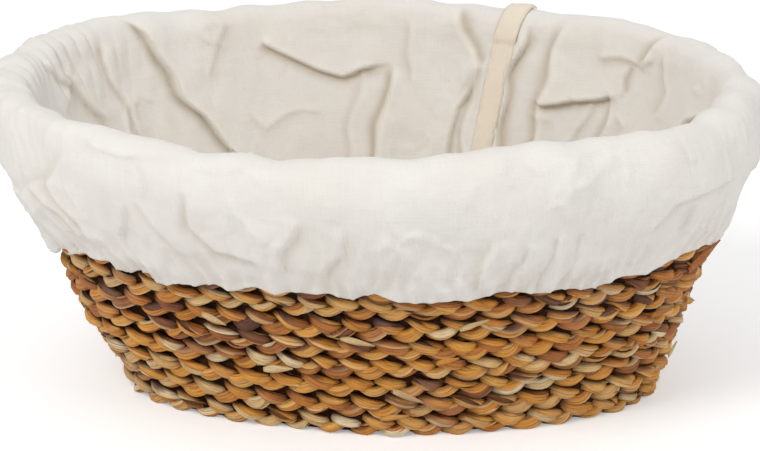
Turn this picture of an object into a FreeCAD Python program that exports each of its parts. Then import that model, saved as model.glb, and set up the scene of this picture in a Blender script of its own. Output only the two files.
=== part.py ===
"""Oval proving basket of sewn plait turns, with a removable cotton liner held by elastic.

The basket is wound from one leaf plait: flat turns make the base and stepped turns make
the wall. The liner's side panel folds over the rim and ends in an elastic hem.
Origin: centre of the base, on the table. X runs along the oval and Z points up.
"""
import FreeCAD, Part
import math
import os
import Sketcher
from FreeCAD import Vector

doc = FreeCAD.newDocument("proving_basket")
sheet = doc.addObject("Spreadsheet::Sheet", "sizes")

DRIVING = [
    ("centre_run", 92.0, "length of the oval less its width, the same for every turn"),
    ("foot_width", 118.0, "outer width of the plait where the wall starts"),
    ("bow", 18.0, "how far the oval's long sides bow out past its round ends"),
    ("flare_below_hem", 25.5, "how far the wall leans out from the table to the liner's hem"),
    ("hem_height", 66.0, "height of the liner's hem above the table"),
    ("flare_above_hem", 13.5, "how far the wall leans out from the hem to the rim"),
    ("rim_height", 121.0, "height of the rim's top turn"),
    ("rows_below_hem", 7.0, "plait turns from the table to the hem"),
    ("groove_depth", 1.7, "depth of the groove between two turns"),
    ("foot_round", 3.6, "rounding of the first turn onto the table"),
    ("plait_thickness", 9.4, "thickness of the plait across the wall"),
    ("base_thickness", 9.0, "thickness of the plait in the base"),
    ("base_turns", 4.0, "flat turns around the base's centre run"),
    ("base_groove", 1.3, "depth and half width of the grooves under the base"),
    ("cloth", 1.2, "thickness of the liner's cloth"),
    ("cloth_gap", 0.4, "air between cloth and plait"),
    ("sewn_gap", 0.1, "air between two layers of cloth that are sewn together"),
    ("cuff_puff", 6.4, "how far the folded cuff stands off the plait"),
    ("puff_height", 24.0, "height above the hem where the cuff stands off that far"),
    ("crest_inset", 2.8, "distance of the fold's crest inside the rim's outer edge"),
    ("crest_rise", 4.2, "height of the fold's underside above the rim"),
    ("shoulder_drop", 6.0, "how far below the rim the cuff is widest"),
    ("shoulder_round", 3.0, "drop from the crest to the shoulder's rounding"),
    ("hem_depth", 2.4, "thickness of the gathered hem at its lower edge"),
    ("elastic_height", 5.0, "height of the elastic's middle above the hem's edge"),
    ("elastic_width", 6.0, "width of the elastic"),
    ("elastic_thickness", 1.0, "thickness of the elastic"),
    ("elastic_inset", 1.6, "distance of the elastic's middle from the plait"),
    ("elastic_play", 0.15, "play of the elastic in the hem, all round"),
    ("seam_width", 10.0, "width of the felled seams"),
    ("seam_thickness", 0.9, "thickness of the folded seam allowance"),
    ("seam_place", 50.0, "distance of the side seam from the middle of the back"),
]
DERIVED = [
    ("hem_width", "=foot_width + 2 * flare_below_hem", "outer width of the plait at the hem"),
    ("rim_width", "=hem_width + 2 * flare_above_hem", "outer width of the plait at the rim"),
]
for row, (alias, value, meaning) in enumerate(DRIVING + DERIVED, start=1):
    sheet.set(f"A{row}", alias)
    sheet.set(f"B{row}", str(value))
    sheet.set(f"C{row}", meaning)
    sheet.setAlias(f"B{row}", alias)
doc.recompute()

ROWS_BELOW = int(sheet.rows_below_hem)
BASE_TURNS = int(sheet.base_turns)
CREST = "(sizes.rim_height + sizes.crest_rise + sizes.cloth)"
UNDER_CREST = "(sizes.rim_height + sizes.crest_rise)"
FLOOR_UNDER = "(sizes.base_thickness + sizes.cloth_gap)"
FLOOR = "(sizes.base_thickness + sizes.cloth_gap + sizes.cloth)"
OUTER_FACE = "(sizes.plait_thickness + sizes.cloth_gap)"
INNER_FACE = "(sizes.plait_thickness + sizes.cloth_gap + sizes.cloth)"
FOOT_INSIDE = "(sizes.foot_width / 2 - sizes.plait_thickness)"
NODES = []


def value_of(expression):
    return float(sheet.evalExpression(expression))


def between(low, high, share):
    return f"({low} + ({high} - {low}) * ({share}))"


def below_hem(height):
    """Half width of the plait's outer face at a height from the table to the hem."""
    share = f"({height}) / sizes.hem_height"
    return between("sizes.foot_width / 2", "sizes.hem_width / 2", share)


def above_hem(height):
    """The same from the hem to the rim."""
    share = f"(({height}) - sizes.hem_height) / (sizes.rim_height - sizes.hem_height)"
    return between("sizes.hem_width / 2", "sizes.rim_width / 2", share)


def panel(height, inset):
    """Half width of the liner's side panel, which hangs straight from rim to floor."""
    share = f"(({height}) - {FLOOR}) / ({CREST} - {FLOOR})"
    low = below_hem("sizes.base_thickness")
    return f"({between(low, 'sizes.rim_width / 2', share)} - {inset})"


def oval(name, half_width, height, bow="sizes.bow"):
    """A four-arc oval: round ends on the X axis and bowed sides, at a height above the table."""
    end_radius = f"(({half_width}) - ({bow}))"
    end_centre = f"(sizes.centre_run / 2 + ({bow}))"
    side_radius = (f"(({end_centre}) ^ 2 + (2 * ({half_width}) - ({bow})) * ({bow}))"
                   f" / (2 * ({bow}))")
    r_end = value_of(end_radius)
    x_end = value_of(end_centre)
    r_side = value_of(side_radius)
    y_side = r_side - value_of(half_width)
    turn = math.atan2(y_side, x_end)
    up = Vector(0, 0, 1)
    arcs = [
        (Vector(x_end, 0, 0), r_end, -turn, turn),
        (Vector(0, -y_side, 0), r_side, turn, math.pi - turn),
        (Vector(-x_end, 0, 0), r_end, math.pi - turn, math.pi + turn),
        (Vector(0, y_side, 0), r_side, math.pi + turn, 2 * math.pi - turn),
    ]
    sketch = doc.addObject("Sketcher::SketchObject", name)
    for centre, radius, start, end in arcs:
        sketch.addGeometry(Part.ArcOfCircle(Part.Circle(centre, up, radius), start, end), False)
    for first, second in ((0, 1), (1, 2), (2, 3), (3, 0)):
        sketch.addConstraint(Sketcher.Constraint("Tangent", first, 2, second, 1))
    for arc, axis in ((0, -1), (2, -1), (1, -2)):
        sketch.addConstraint(Sketcher.Constraint("PointOnObject", arc, 3, axis))
    named = (
        ("end_radius", Sketcher.Constraint("Radius", 0, r_end), end_radius),
        ("end_centre", Sketcher.Constraint("DistanceX", -1, 1, 0, 3, x_end), end_centre),
        ("side_radius", Sketcher.Constraint("Radius", 1, r_side), side_radius),
    )
    for label, constraint, expression in named:
        index = sketch.addConstraint(constraint)
        sketch.renameConstraint(index, label)
        sketch.setExpression(f"Constraints.{label}", expression)
    sketch.addConstraint(Sketcher.Constraint("Equal", 0, 2))
    sketch.addConstraint(Sketcher.Constraint("Equal", 1, 3))
    sketch.setExpression("Placement.Base.z", height)
    return sketch


def slab(name, levels):
    """A solid with straight walls from oval to oval, given as (half width, height, bow)."""
    feature = doc.addObject("Part::Loft", name)
    feature.Sections = [oval(f"{name}_{i}", *level) for i, level in enumerate(levels)]
    feature.Solid = True
    feature.Ruled = True
    return feature


def cut(name, base, tool):
    feature = doc.addObject("Part::Cut", name)
    feature.Base = base
    feature.Tool = tool
    return feature


def ring(name, outside, inside):
    """An endless band round the basket, between two stacks of ovals."""
    return cut(name, slab(f"{name}_outside", outside), slab(f"{name}_inside", inside))


def node(feature, label):
    feature.Label = label
    NODES.append(feature)


def wall_plait():
    """The wall: its turns show below the liner's hem, and the cuff hides those above it."""
    outside = []
    for turn in range(ROWS_BELOW):
        groove = f"(sizes.hem_height * {turn} / sizes.rows_below_hem)"
        crest = f"(sizes.hem_height * {turn + 0.5} / sizes.rows_below_hem)"
        outside.append((f"({below_hem(groove)} - sizes.groove_depth)", groove))
        outside.append((below_hem(crest), crest))
    outside[0] = ("(sizes.foot_width / 2 - sizes.foot_round)", "0")
    outside += [
        ("(sizes.hem_width / 2)", "sizes.hem_height"),
        ("(sizes.rim_width / 2)", "sizes.rim_height"),
    ]
    inside = [
        (FOOT_INSIDE, "0"),
        ("(sizes.hem_width / 2 - sizes.plait_thickness)", "sizes.hem_height"),
        ("(sizes.rim_width / 2 - sizes.plait_thickness)", "sizes.rim_height"),
    ]
    node(ring("wall", outside, inside), "wall_plait")


def base_plait():
    """The base's turns: a flat top under the liner, and a groove between turns underneath."""
    floor_edge = f"({below_hem('sizes.base_thickness')} - sizes.plait_thickness)"
    block = slab("base", [(FOOT_INSIDE, "0"), (floor_edge, "sizes.base_thickness")])
    grooves = []
    for turn in range(1, BASE_TURNS):
        middle = f"({FOOT_INSIDE} * {turn} / sizes.base_turns)"
        bow = f"(sizes.bow * {turn} / sizes.base_turns)"
        below = "-sizes.base_groove"
        ridge = (middle, "sizes.base_groove", bow)
        grooves.append(ring(f"groove_{turn}",
                            [(f"({middle} + 2 * sizes.base_groove)", below, bow), ridge],
                            [(f"({middle} - 2 * sizes.base_groove)", below, bow), ridge]))
    all_grooves = doc.addObject("Part::Compound", "grooves")
    all_grooves.Links = grooves
    node(cut("grooved_base", block, all_grooves), "base_plait")


def liner_side():
    """The side panel, from the floor to the fold over the rim, and its outer face as a tool."""
    outside = slab("side_outside", [(panel(height, OUTER_FACE), height) for height in (FLOOR, CREST)])
    inside = slab("side_inside", [(panel(height, INNER_FACE), height) for height in (FLOOR, CREST)])
    node(cut("side", outside, inside), "liner_wall")
    return outside


def liner_bottom():
    half = panel(FLOOR, OUTER_FACE)
    node(slab("bottom", [(half, FLOOR_UNDER), (half, FLOOR)]), "liner_bottom")


def cuff(side_outside):
    """The side panel's fold over the rim and its gathered skirt, with the elastic in the hem."""
    shoulder = "(sizes.rim_height - sizes.shoulder_drop)"
    puffed = "(sizes.hem_height + sizes.puff_height)"
    fold = "(sizes.rim_width / 2 - sizes.crest_inset)"
    stands_off = "(sizes.cuff_puff + sizes.cloth)"
    skirt = ring("skirt", [
        ("(sizes.hem_width / 2 + sizes.cloth_gap + sizes.hem_depth)", "sizes.hem_height"),
        (f"({above_hem(puffed)} + {stands_off})", puffed),
        (f"({above_hem(shoulder)} + {stands_off})", shoulder),
        (f"({fold} + {stands_off} - sizes.cloth)", f"({CREST} - sizes.shoulder_round)"),
        (fold, CREST),
    ], [
        ("(sizes.hem_width / 2 + sizes.cloth_gap)", "sizes.hem_height"),
        (f"({above_hem(shoulder)} + sizes.cuff_puff)", shoulder),
        (fold, UNDER_CREST),
    ])
    folded = cut("skirt_less_side", skirt, side_outside)
    node(cut("slotted_skirt", folded, elastic_band("slot", "sizes.elastic_play")), "liner_cuff")
    node(elastic_band("band", "0"), "elastic")


def elastic_band(name, grow):
    """The elastic's section, flaring with the plait, or the same grown on every side."""
    middle = "(sizes.hem_height + sizes.elastic_height)"
    low = f"({middle} - sizes.elastic_width / 2 - {grow})"
    high = f"({middle} + sizes.elastic_width / 2 + {grow})"
    near = f"(sizes.elastic_inset - sizes.elastic_thickness / 2 - {grow})"
    far = f"(sizes.elastic_inset + sizes.elastic_thickness / 2 + {grow})"
    return ring(name,
                [(f"({above_hem(height)} + {far})", height) for height in (low, high)],
                [(f"({above_hem(height)} + {near})", height) for height in (low, high)])


def side_seam():
    """The felled seam down the liner's back, a strip lying on the side panel's inner face."""
    low = f"({FLOOR} + sizes.seam_thickness + sizes.cloth_gap)"
    high = f"({CREST} - sizes.cloth_gap)"
    near = f"({INNER_FACE} + sizes.sewn_gap)"
    far = f"({near} + sizes.seam_thickness)"
    all_round = ring("seam_band",
                     [(panel(height, near), height) for height in (low, high)],
                     [(panel(height, far), height) for height in (low, high)])
    block = doc.addObject("Part::Box", "seam_block")
    block.setExpression("Length", "sizes.seam_width")
    block.setExpression("Width", "sizes.rim_width")
    block.setExpression("Height", "sizes.rim_height + sizes.base_thickness")
    block.setExpression("Placement.Base.x", "sizes.seam_place - sizes.seam_width / 2")
    strip = doc.addObject("Part::Common", "seam_strip")
    strip.Base = all_round
    strip.Tool = block
    node(strip, "side_seam")


def bottom_seam():
    """The seam allowance lying on the bottom panel, all round its edge."""
    outer = panel(FLOOR, f"({INNER_FACE} + sizes.cloth_gap)")
    inner = f"({outer} - sizes.seam_width)"
    low = f"({FLOOR} + sizes.sewn_gap)"
    high = f"({low} + sizes.seam_thickness)"
    node(ring("allowance",
              [(outer, height) for height in (low, high)],
              [(inner, height) for height in (low, high)]), "bottom_seam")


wall_plait()
base_plait()
liner_bottom()
cuff(liner_side())
side_seam()
bottom_seam()
doc.recompute()

for item in doc.Objects:
    if "Invalid" in item.State or "Error" in item.State:
        raise RuntimeError(f"{item.Name} did not recompute: {item.State}")

os.makedirs("parts", exist_ok=True)
for item in NODES:
    shape = item.Shape
    if shape.isNull() or not shape.isValid() or not shape.Solids:
        raise RuntimeError(f"{item.Label} has no valid solid")
    print(item.Label, "solids", len(shape.Solids), "volume", round(shape.Volume, 1))
    shape.exportStep(os.path.join("parts", f"{item.Label}.step"))
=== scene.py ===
"""Oval proving basket: a wound leaf plait, and a cotton liner folded over its rim.

Lengths are millimetres until a mesh is made. The origin is the centre of the base, on the
table, with X along the oval, Y towards its back and Z up.
"""
import bpy
import math
import numpy as np
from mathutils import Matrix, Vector, noise

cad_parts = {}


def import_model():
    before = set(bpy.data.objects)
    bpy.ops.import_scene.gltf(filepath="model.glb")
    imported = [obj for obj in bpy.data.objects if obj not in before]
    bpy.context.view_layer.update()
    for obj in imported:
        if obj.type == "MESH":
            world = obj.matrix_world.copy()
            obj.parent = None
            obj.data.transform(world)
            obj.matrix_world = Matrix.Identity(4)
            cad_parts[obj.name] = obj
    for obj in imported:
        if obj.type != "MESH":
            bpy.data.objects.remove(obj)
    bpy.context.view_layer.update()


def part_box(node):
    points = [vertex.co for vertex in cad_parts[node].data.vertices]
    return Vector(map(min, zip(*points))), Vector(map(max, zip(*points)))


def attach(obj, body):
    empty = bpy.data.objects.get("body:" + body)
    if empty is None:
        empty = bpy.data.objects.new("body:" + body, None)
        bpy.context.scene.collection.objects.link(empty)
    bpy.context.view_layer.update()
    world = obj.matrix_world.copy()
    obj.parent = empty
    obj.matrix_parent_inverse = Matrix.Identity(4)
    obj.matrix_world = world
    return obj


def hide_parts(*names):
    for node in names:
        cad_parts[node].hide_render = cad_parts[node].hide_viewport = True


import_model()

MM = 0.001
IMAGE_WIDTH = 760

# The oval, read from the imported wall: its length is its width plus the centre run.
wall_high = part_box("wall_plait")[1]
cuff_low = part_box("liner_cuff")[0]
floor_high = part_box("liner_bottom")[1]
RIM_HEIGHT = wall_high[2] / MM
HEM_HEIGHT = cuff_low[2] / MM
FLOOR_HEIGHT = floor_high[2] / MM
FLOOR_HALF = floor_high[1] / MM
CENTRE_RUN = 2 * (floor_high[0] - floor_high[1]) / MM
# The oval has four arcs. BOW is how far its long sides swell. The end arcs' centres lie
# END_CENTRE from the middle along X, and each side arc's centre SIDE_SHIFT across the middle.
BOW = 18.0
END_CENTRE = CENTRE_RUN / 2 + BOW
SIDE_SHIFT = 104.8
END_TURN = math.atan2(SIDE_SHIFT, END_CENTRE)

# The wound plait: half widths of its outer face at the foot, the hem and the rim, its turns
# and its depth, then how far the basket leans and bellies.
FOOT_HALF = 59.0
HEM_HALF = 84.5
RIM_HALF = 98.0
ROWS_BELOW_HEM = 7
ROWS_ABOVE_HEM = 6
PLAIT_DEPTH = 9.4
PLAIT_TOP = RIM_HEIGHT - 1.8
BASE_TURNS = 4
RIM_LEAN = 7.5
LEFT_BELLY = 4.5
BELLY_HEIGHT = 36
BELLY_REACH = 18
TABLE_GAP = 0.05


def smooth(edge_low, edge_high, value):
    """A step from 0 to 1 between two values, with soft ends."""
    t = np.clip((value - edge_low) / (edge_high - edge_low), 0, 1)
    return t * t * (3 - 2 * t)


def plait_half(height):
    """Half width of the plait's outer face at a height."""
    return np.interp(height, [0, HEM_HEIGHT, RIM_HEIGHT], [FOOT_HALF, HEM_HALF, RIM_HALF])


def oval(share, half_width, bow=BOW):
    """Points and outward directions on a four-arc oval, a share of the way round from +X."""
    centre = CENTRE_RUN / 2 + bow
    end_radius = half_width - bow
    side_radius = (centre ** 2 + (2 * half_width - bow) * bow) / (2 * bow)
    shift = side_radius - half_width
    turn = np.arctan2(shift, centre)
    end = turn * end_radius
    side = (math.pi - 2 * turn) * side_radius
    run = (share % 1) * (4 * end + 2 * side)
    in_arc = [run < end, run < end + side, run < 3 * end + side, run < 3 * end + 2 * side]
    angle = np.select(in_arc, [
        run / end_radius,
        turn + (run - end) / side_radius,
        math.pi - turn + (run - end - side) / end_radius,
        math.pi + turn + (run - 3 * end - side) / side_radius,
    ], -turn + (run - 3 * end - 2 * side) / end_radius)
    centre_x = np.select(in_arc, [centre, 0, -centre, 0], centre)
    centre_y = np.select(in_arc, [0, -shift, 0, shift], 0)
    radius = np.select(in_arc, [end_radius, side_radius, end_radius, side_radius], end_radius)
    outward = np.stack([np.cos(angle), np.sin(angle), 0 * angle], axis=-1)
    x = centre_x + radius * outward[..., 0]
    y = centre_y + radius * outward[..., 1]
    return np.stack([x, y, 0 * x], axis=-1), outward


def round_length(half_width):
    """Length of the oval's outline."""
    end_radius = half_width - BOW
    return 4 * END_TURN * end_radius + 2 * (math.pi - 2 * END_TURN) * (half_width + SIDE_SHIFT)


def lean(points):
    """The basket leans a little towards -X and bellies at that end, as a hand-wound one does."""
    points = points.copy()
    height = np.clip(points[..., 2], 0, None)
    belly = np.exp(-((height - BELLY_HEIGHT) / BELLY_REACH) ** 2) * smooth(20, 120, -points[..., 0])
    points[..., 0] -= RIM_LEAN * (height / RIM_HEIGHT) ** 1.3 + LEFT_BELLY * belly
    return points


def unit(vectors):
    return vectors / np.linalg.norm(vectors, axis=-1, keepdims=True)


def wander(length, step, size, seed):
    """A smooth random line: one value every step along a length, joined by a cubic."""
    local = np.random.default_rng(seed)
    knots = np.arange(-2, int(length.max() / step) + 4)
    values = local.normal(0, size, len(knots))
    place = length / step
    base = np.floor(place).astype(int)
    t = place - base
    p = [values[np.clip(base + 2 + k, 0, len(values) - 1)] for k in (-1, 0, 1, 2)]
    return 0.5 * (2 * p[1] + (p[2] - p[0]) * t + (2 * p[0] - 5 * p[1] + 4 * p[2] - p[3]) * t ** 2
                  + (3 * p[1] - p[0] - 3 * p[2] + p[3]) * t ** 3)


class Mesh:
    """Collects grids of points, with flat coordinates and a colour, into one object.

    The colour is the attribute "tone": a tint, a pale share (worn leaf edges, or painted highlight on
    cloth) and a share of painted shade.
    """

    def __init__(self):
        self.points = []
        self.faces = []
        self.flats = []
        self.colours = []
        self.count = 0

    def add(self, points, flat, colour=None, closed=(False, False)):
        """points is rows x columns x 3; flat has one more row or column where that way closes."""
        rows, columns = points.shape[:2]
        i, j = np.meshgrid(np.arange(rows - 1 + closed[0]), np.arange(columns - 1 + closed[1]),
                           indexing="ij")
        corners = [(i, j), (i, j + 1), (i + 1, j + 1), (i + 1, j)]
        faces = np.stack([(a % rows) * columns + b % columns for a, b in corners], axis=-1)
        self.faces.append(faces.reshape(-1, 4) + self.count)
        self.flats.append(np.stack([flat[a, b] for a, b in corners], axis=-2).reshape(-1, 2))
        self.points.append(points.reshape(-1, 3))
        if colour is None:
            colour = np.zeros(points.shape[:2] + (3,))
        self.colours.append(colour.reshape(-1, 3))
        self.count += rows * columns

    def build(self, name, material, body):
        mesh = bpy.data.meshes.new(name)
        points = np.concatenate(self.points) * MM
        mesh.from_pydata(points.tolist(), [], np.concatenate(self.faces).tolist())
        layer = mesh.uv_layers.new(name="flat")
        layer.data.foreach_set("uv", np.concatenate(self.flats).ravel() * MM)
        colour = mesh.color_attributes.new("tone", "FLOAT_COLOR", "POINT")
        colours = np.concatenate(self.colours)
        colour.data.foreach_set("color", np.column_stack([colours, np.ones(len(colours))]).ravel())
        mesh.polygons.foreach_set("use_smooth", [True] * len(mesh.polygons))
        mesh.materials.append(material)
        piece = bpy.data.objects.new(name, mesh)
        bpy.context.scene.collection.objects.link(piece)
        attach(piece, body)
        return piece


def thicken(piece, thickness, offset=-1):
    """Gives a cloth or leaf its thickness, in millimetres."""
    thick = piece.modifiers.new("thickness", "SOLIDIFY")
    thick.thickness = thickness * MM
    thick.offset = offset


# Materials

WHITE = (1, 1, 1)
BLACK = (0, 0, 0)


class Nodes:
    """A material's node tree, with short calls to add and join nodes."""

    def __init__(self, name):
        self.material = bpy.data.materials.new(name)
        self.material.use_nodes = True
        self.tree = self.material.node_tree
        self.shader = self.tree.nodes["Principled BSDF"]

    def feed(self, socket, value):
        """Joins another node's output to a socket, or sets the socket's value."""
        if isinstance(value, bpy.types.NodeSocket):
            self.tree.links.new(value, socket)
        else:
            socket.default_value = value

    def add(self, kind, inputs=None, **settings):
        item = self.tree.nodes.new(f"ShaderNode{kind}")
        for key, value in settings.items():
            setattr(item, key, value)
        for key, value in (inputs or {}).items():
            self.feed(item.inputs[key], value)
        return item

    def ramp(self, factor, stops):
        item = self.add("ValToRGB", {"Fac": factor})
        elements = item.color_ramp.elements
        for k, (position, colour) in enumerate(stops):
            stop = elements[k] if k < 2 else elements.new(position)
            stop.position = position
            stop.color = (*colour, 1)
        return item.outputs["Color"]

    def mix(self, mode, factor, first, second):
        item = self.add("Mix", data_type="RGBA", blend_type=mode)
        for socket, value in ((0, factor), (6, first), (7, second)):
            self.feed(item.inputs[socket], value)
        return item.outputs[2]

    def math(self, operation, first, second):
        return self.add("Math", {0: first, 1: second}, operation=operation).outputs[0]

    def noise(self, coordinates, scale, stretch, detail=4.0, rough=0.6):
        placed = self.add("Mapping", {"Vector": coordinates, "Scale": stretch})
        item = self.add("TexNoise", {"Vector": placed.outputs[0], "Scale": scale,
                                     "Detail": detail, "Roughness": rough})
        return item.outputs["Fac"]

    def set(self, **inputs):
        for key, value in inputs.items():
            self.feed(self.shader.inputs[key.replace("_", " ")], value)

    def bump(self, height, strength, distance, normal=None):
        inputs = {"Height": height, "Strength": strength, "Distance": distance}
        if normal is not None:
            inputs["Normal"] = normal
        return self.add("Bump", inputs).outputs["Normal"]


def leaf_material():
    """Dry leaf: each leaf's own tint, streaks along it, pale edges, and painted shade in crevices and
    under tucked edges.
    """
    n = Nodes("dry_leaf")
    tone = n.add("Attribute", attribute_name="tone").outputs["Color"]
    split = n.add("SeparateColor", {"Color": tone})
    flat = n.add("UVMap", uv_map="flat").outputs["UV"]
    solid = n.add("TexCoord").outputs["Object"]
    streaks = n.noise(flat, 1.0, (90, 1500, 1), 5.0, 0.65)
    fine = n.noise(flat, 1.0, (240, 5200, 1), 3.0, 0.6)
    blotches = n.noise(solid, 95.0, (1, 1, 1), 4.0, 0.7)
    tint = split.outputs[0]
    for change, share in ((streaks, 0.6), (blotches, 0.22)):
        change = n.math("MULTIPLY", n.math("SUBTRACT", change, 0.5), share)
        tint = n.math("ADD", tint, change)
    colour = n.ramp(tint, [
        (0.0, (0.075, 0.028, 0.014)),
        (0.13, (0.20, 0.072, 0.026)),
        (0.27, (0.42, 0.155, 0.038)),
        (0.4, (0.62, 0.255, 0.045)),
        (0.52, (0.76, 0.375, 0.062)),
        (0.63, (0.79, 0.45, 0.125)),
        (0.76, (0.74, 0.51, 0.25)),
        (0.9, (0.84, 0.72, 0.50)),
        (1.0, (0.90, 0.83, 0.70)),
    ])
    fine_lines = n.ramp(fine, [(0.3, (0.58, 0.48, 0.38)), (0.6, WHITE)])
    colour = n.mix("MULTIPLY", 0.5, colour, fine_lines)
    veins = n.noise(flat, 1.0, (60, 1300, 1), 4.0, 0.8)
    vein_lines = n.ramp(veins, [(0.38, (0.3, 0.17, 0.11)), (0.5, WHITE)])
    colour = n.mix("MULTIPLY", 0.75, colour, vein_lines)
    patches = n.noise(solid, 42.0, (1, 1, 1), 2.0, 0.5)
    mauve = n.ramp(patches, [(0.55, BLACK), (0.75, (0.4, 0.4, 0.4))])
    colour = n.mix("MIX", mauve, colour, (0.40, 0.24, 0.20, 1))
    colour = n.mix("MIX", n.math("MULTIPLY", split.outputs[1], 0.6), colour, (0.86, 0.70, 0.46, 1))
    # Painted shade: crevices, grooves between rows and tucked leaf edges darkened by the tone's third
    # part.
    colour = n.mix("MULTIPLY", split.outputs[2], colour, (0.10, 0.045, 0.022, 1))
    colour = n.mix("MULTIPLY", 1.0, colour, (1.0, 0.90, 0.71, 1))
    height = n.math("ADD", streaks, n.math("MULTIPLY", fine, 0.5))
    n.set(Base_Color=colour,
          Roughness=n.math("ADD", 0.36, n.math("MULTIPLY", streaks, 0.34)),
          Specular_IOR_Level=0.42,
          Normal=n.bump(height, 0.55, 0.0006))
    return n.material


def shade_core_material():
    """The plait's inside, seen only in the gaps between strands: near black, as painted shade in
    those gaps.
    """
    n = Nodes("plait_shade_core")
    solid = n.add("TexCoord").outputs["Object"]
    specks = n.noise(solid, 260.0, (1, 1, 1))
    colour = n.ramp(specks, [(0.3, (0.012, 0.004, 0.002)), (0.7, (0.045, 0.016, 0.006))])
    n.set(Base_Color=colour, Roughness=0.9, Specular_IOR_Level=0.1)
    return n.material


def cotton_material(name, light, shade):
    """Unbleached cotton in plain weave, with slubs and soft stains, and with painted shade and
    painted highlight from the tone attribute.
    """
    n = Nodes(name)
    flat = n.add("UVMap", uv_map="flat").outputs["UV"]
    solid = n.add("TexCoord").outputs["Object"]

    def threads(scale, direction):
        inputs = {"Vector": flat, "Scale": scale, "Distortion": 0.35, "Detail Scale": 2.0}
        return n.add("TexWave", inputs, bands_direction=direction).outputs["Fac"]

    weave = n.math("MULTIPLY", threads(520.0, "X"), threads(560.0, "Y"))
    slub_along = n.noise(flat, 1.0, (50, 1400, 1), 3.0, 0.6)
    slub_round = n.noise(flat, 1.0, (1500, 60, 1), 3.0, 0.6)
    stains = n.noise(solid, 26.0, (1, 1, 1), 4.0, 0.6)
    slubs = n.math("ADD", slub_along, slub_round)
    colour = n.ramp(stains, [(0.34, shade), (0.62, light)])
    slub_lines = n.ramp(slubs, [(0.78, (0.95, 0.94, 0.92)), (1.12, WHITE)])
    colour = n.mix("MULTIPLY", 0.5, colour, slub_lines)
    tone = n.add("Attribute", attribute_name="tone").outputs["Color"]
    split = n.add("SeparateColor", {"Color": tone})
    # Painted shade from the tone's third part.
    colour = n.mix("MULTIPLY", split.outputs[2], colour, (0.60, 0.50, 0.37, 1))
    # Painted highlight from the tone's second part.
    colour = n.mix("MIX", split.outputs[1], colour, (0.93, 0.87, 0.76, 1))
    weave_holes = n.ramp(weave, [(0.0, (0.86, 0.84, 0.8)), (0.35, WHITE)])
    colour = n.mix("MULTIPLY", 0.22, colour, weave_holes)
    coarse = n.bump(slubs, 0.2, 0.0005)
    n.set(Base_Color=colour, Roughness=0.92, Specular_IOR_Level=0.25, Sheen_Weight=0.25,
          Sheen_Roughness=0.6, Normal=n.bump(weave, 0.4, 0.00025, coarse))
    return n.material


def thread_material():
    n = Nodes("cotton_thread")
    solid = n.add("TexCoord").outputs["Object"]
    twist = n.noise(solid, 1800.0, (1, 1, 1))
    n.set(Base_Color=n.ramp(twist, [(0.3, (0.83, 0.79, 0.72)), (0.7, (0.9, 0.87, 0.81))]),
          Roughness=0.8, Normal=n.bump(twist, 0.5, 0.0002))
    return n.material


def elastic_material():
    n = Nodes("elastic_band")
    flat = n.add("UVMap", uv_map="flat").outputs["UV"]
    ribs = n.add("TexWave", {"Vector": flat, "Scale": 300.0}, bands_direction="Y").outputs["Fac"]
    n.set(Base_Color=n.ramp(ribs, [(0.2, (0.66, 0.65, 0.62)), (0.7, (0.84, 0.83, 0.8))]),
          Roughness=0.7, Normal=n.bump(ribs, 0.5, 0.0003))
    return n.material


LEAF = leaf_material()
# The core's near-black colour is painted shade.
CORE = shade_core_material()
COTTON = cotton_material("cotton", (0.87, 0.842, 0.80), (0.845, 0.808, 0.752))
SEAM_COTTON = cotton_material("cotton_seam", (0.87, 0.775, 0.65), (0.84, 0.73, 0.585))
THREAD = thread_material()
ELASTIC = elastic_material()


# The plait

# A strand crosses the plait and comes back in STRAND_COUNT strokes.
STROKE = 12.6
STRAND_COUNT = 3
# Half sizes of a strand, how far it swings to each side, and how deep it dips.
STRAND_ACROSS = 2.5
STRAND_DEEP = 1.95
WALL_SPREAD = 2.75
BASE_SPREAD = 3.5
DIP = 2.2
# Step between samples along the plait, then the leaves round one strand and their columns.
SAMPLE = 1.35
LEAVES = 5
LEAF_COLUMNS = 5
LEAF_LENGTH = 80.0
LEAF_WIDTH = 5.0
# Steps of the flat coordinates, so that no two leaves show the same streaks.
LEAF_STEP = 9.0
STRAND_STEP = 50
CORE_SIDES = 8
PIECE_SAMPLES = 420
# Places round the oval, in turns: where a turn starts to climb to the next, where the plait's
# hidden beginning lies and where its end starts to tuck in.
CLIMB_START = 0.88
PLAIT_START = -0.152
TUCK_START = 0.93
BACK_MIDDLE = 0.25
START_INSET = 7.5
END_INSET = 2.5
END_DROP = 6
# Rough lengths of a turn, which only place the plait's wander.
WALL_TURN = 560
BASE_TURN = 300
# How much paler the lowest rows are and how much darker the rows above them.
LOW_TINT = 0.18
HIGH_TINT = 0.04


def row_middle(turn):
    """Height of a wall turn's middle."""
    low_pitch = HEM_HEIGHT / ROWS_BELOW_HEM
    high_pitch = (PLAIT_TOP - HEM_HEIGHT) / ROWS_ABOVE_HEM
    level = turn + 0.5
    return np.where(level <= ROWS_BELOW_HEM, level * low_pitch,
                    HEM_HEIGHT + (level - ROWS_BELOW_HEM) * high_pitch)


def along_path(points):
    """Length along a path at each of its points."""
    steps = np.linalg.norm(np.diff(points, axis=0), axis=1)
    return np.concatenate([[0], np.cumsum(steps)])


def even_path(make, first, last):
    """Evaluates make(turns) at steps of about SAMPLE millimetres."""
    rough = np.linspace(first, last, 4000)
    length = along_path(make(rough)[0])
    count = int(length[-1] / SAMPLE)
    turns = np.interp(np.linspace(0, length[-1], count), length, rough)
    return make(turns)


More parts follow.
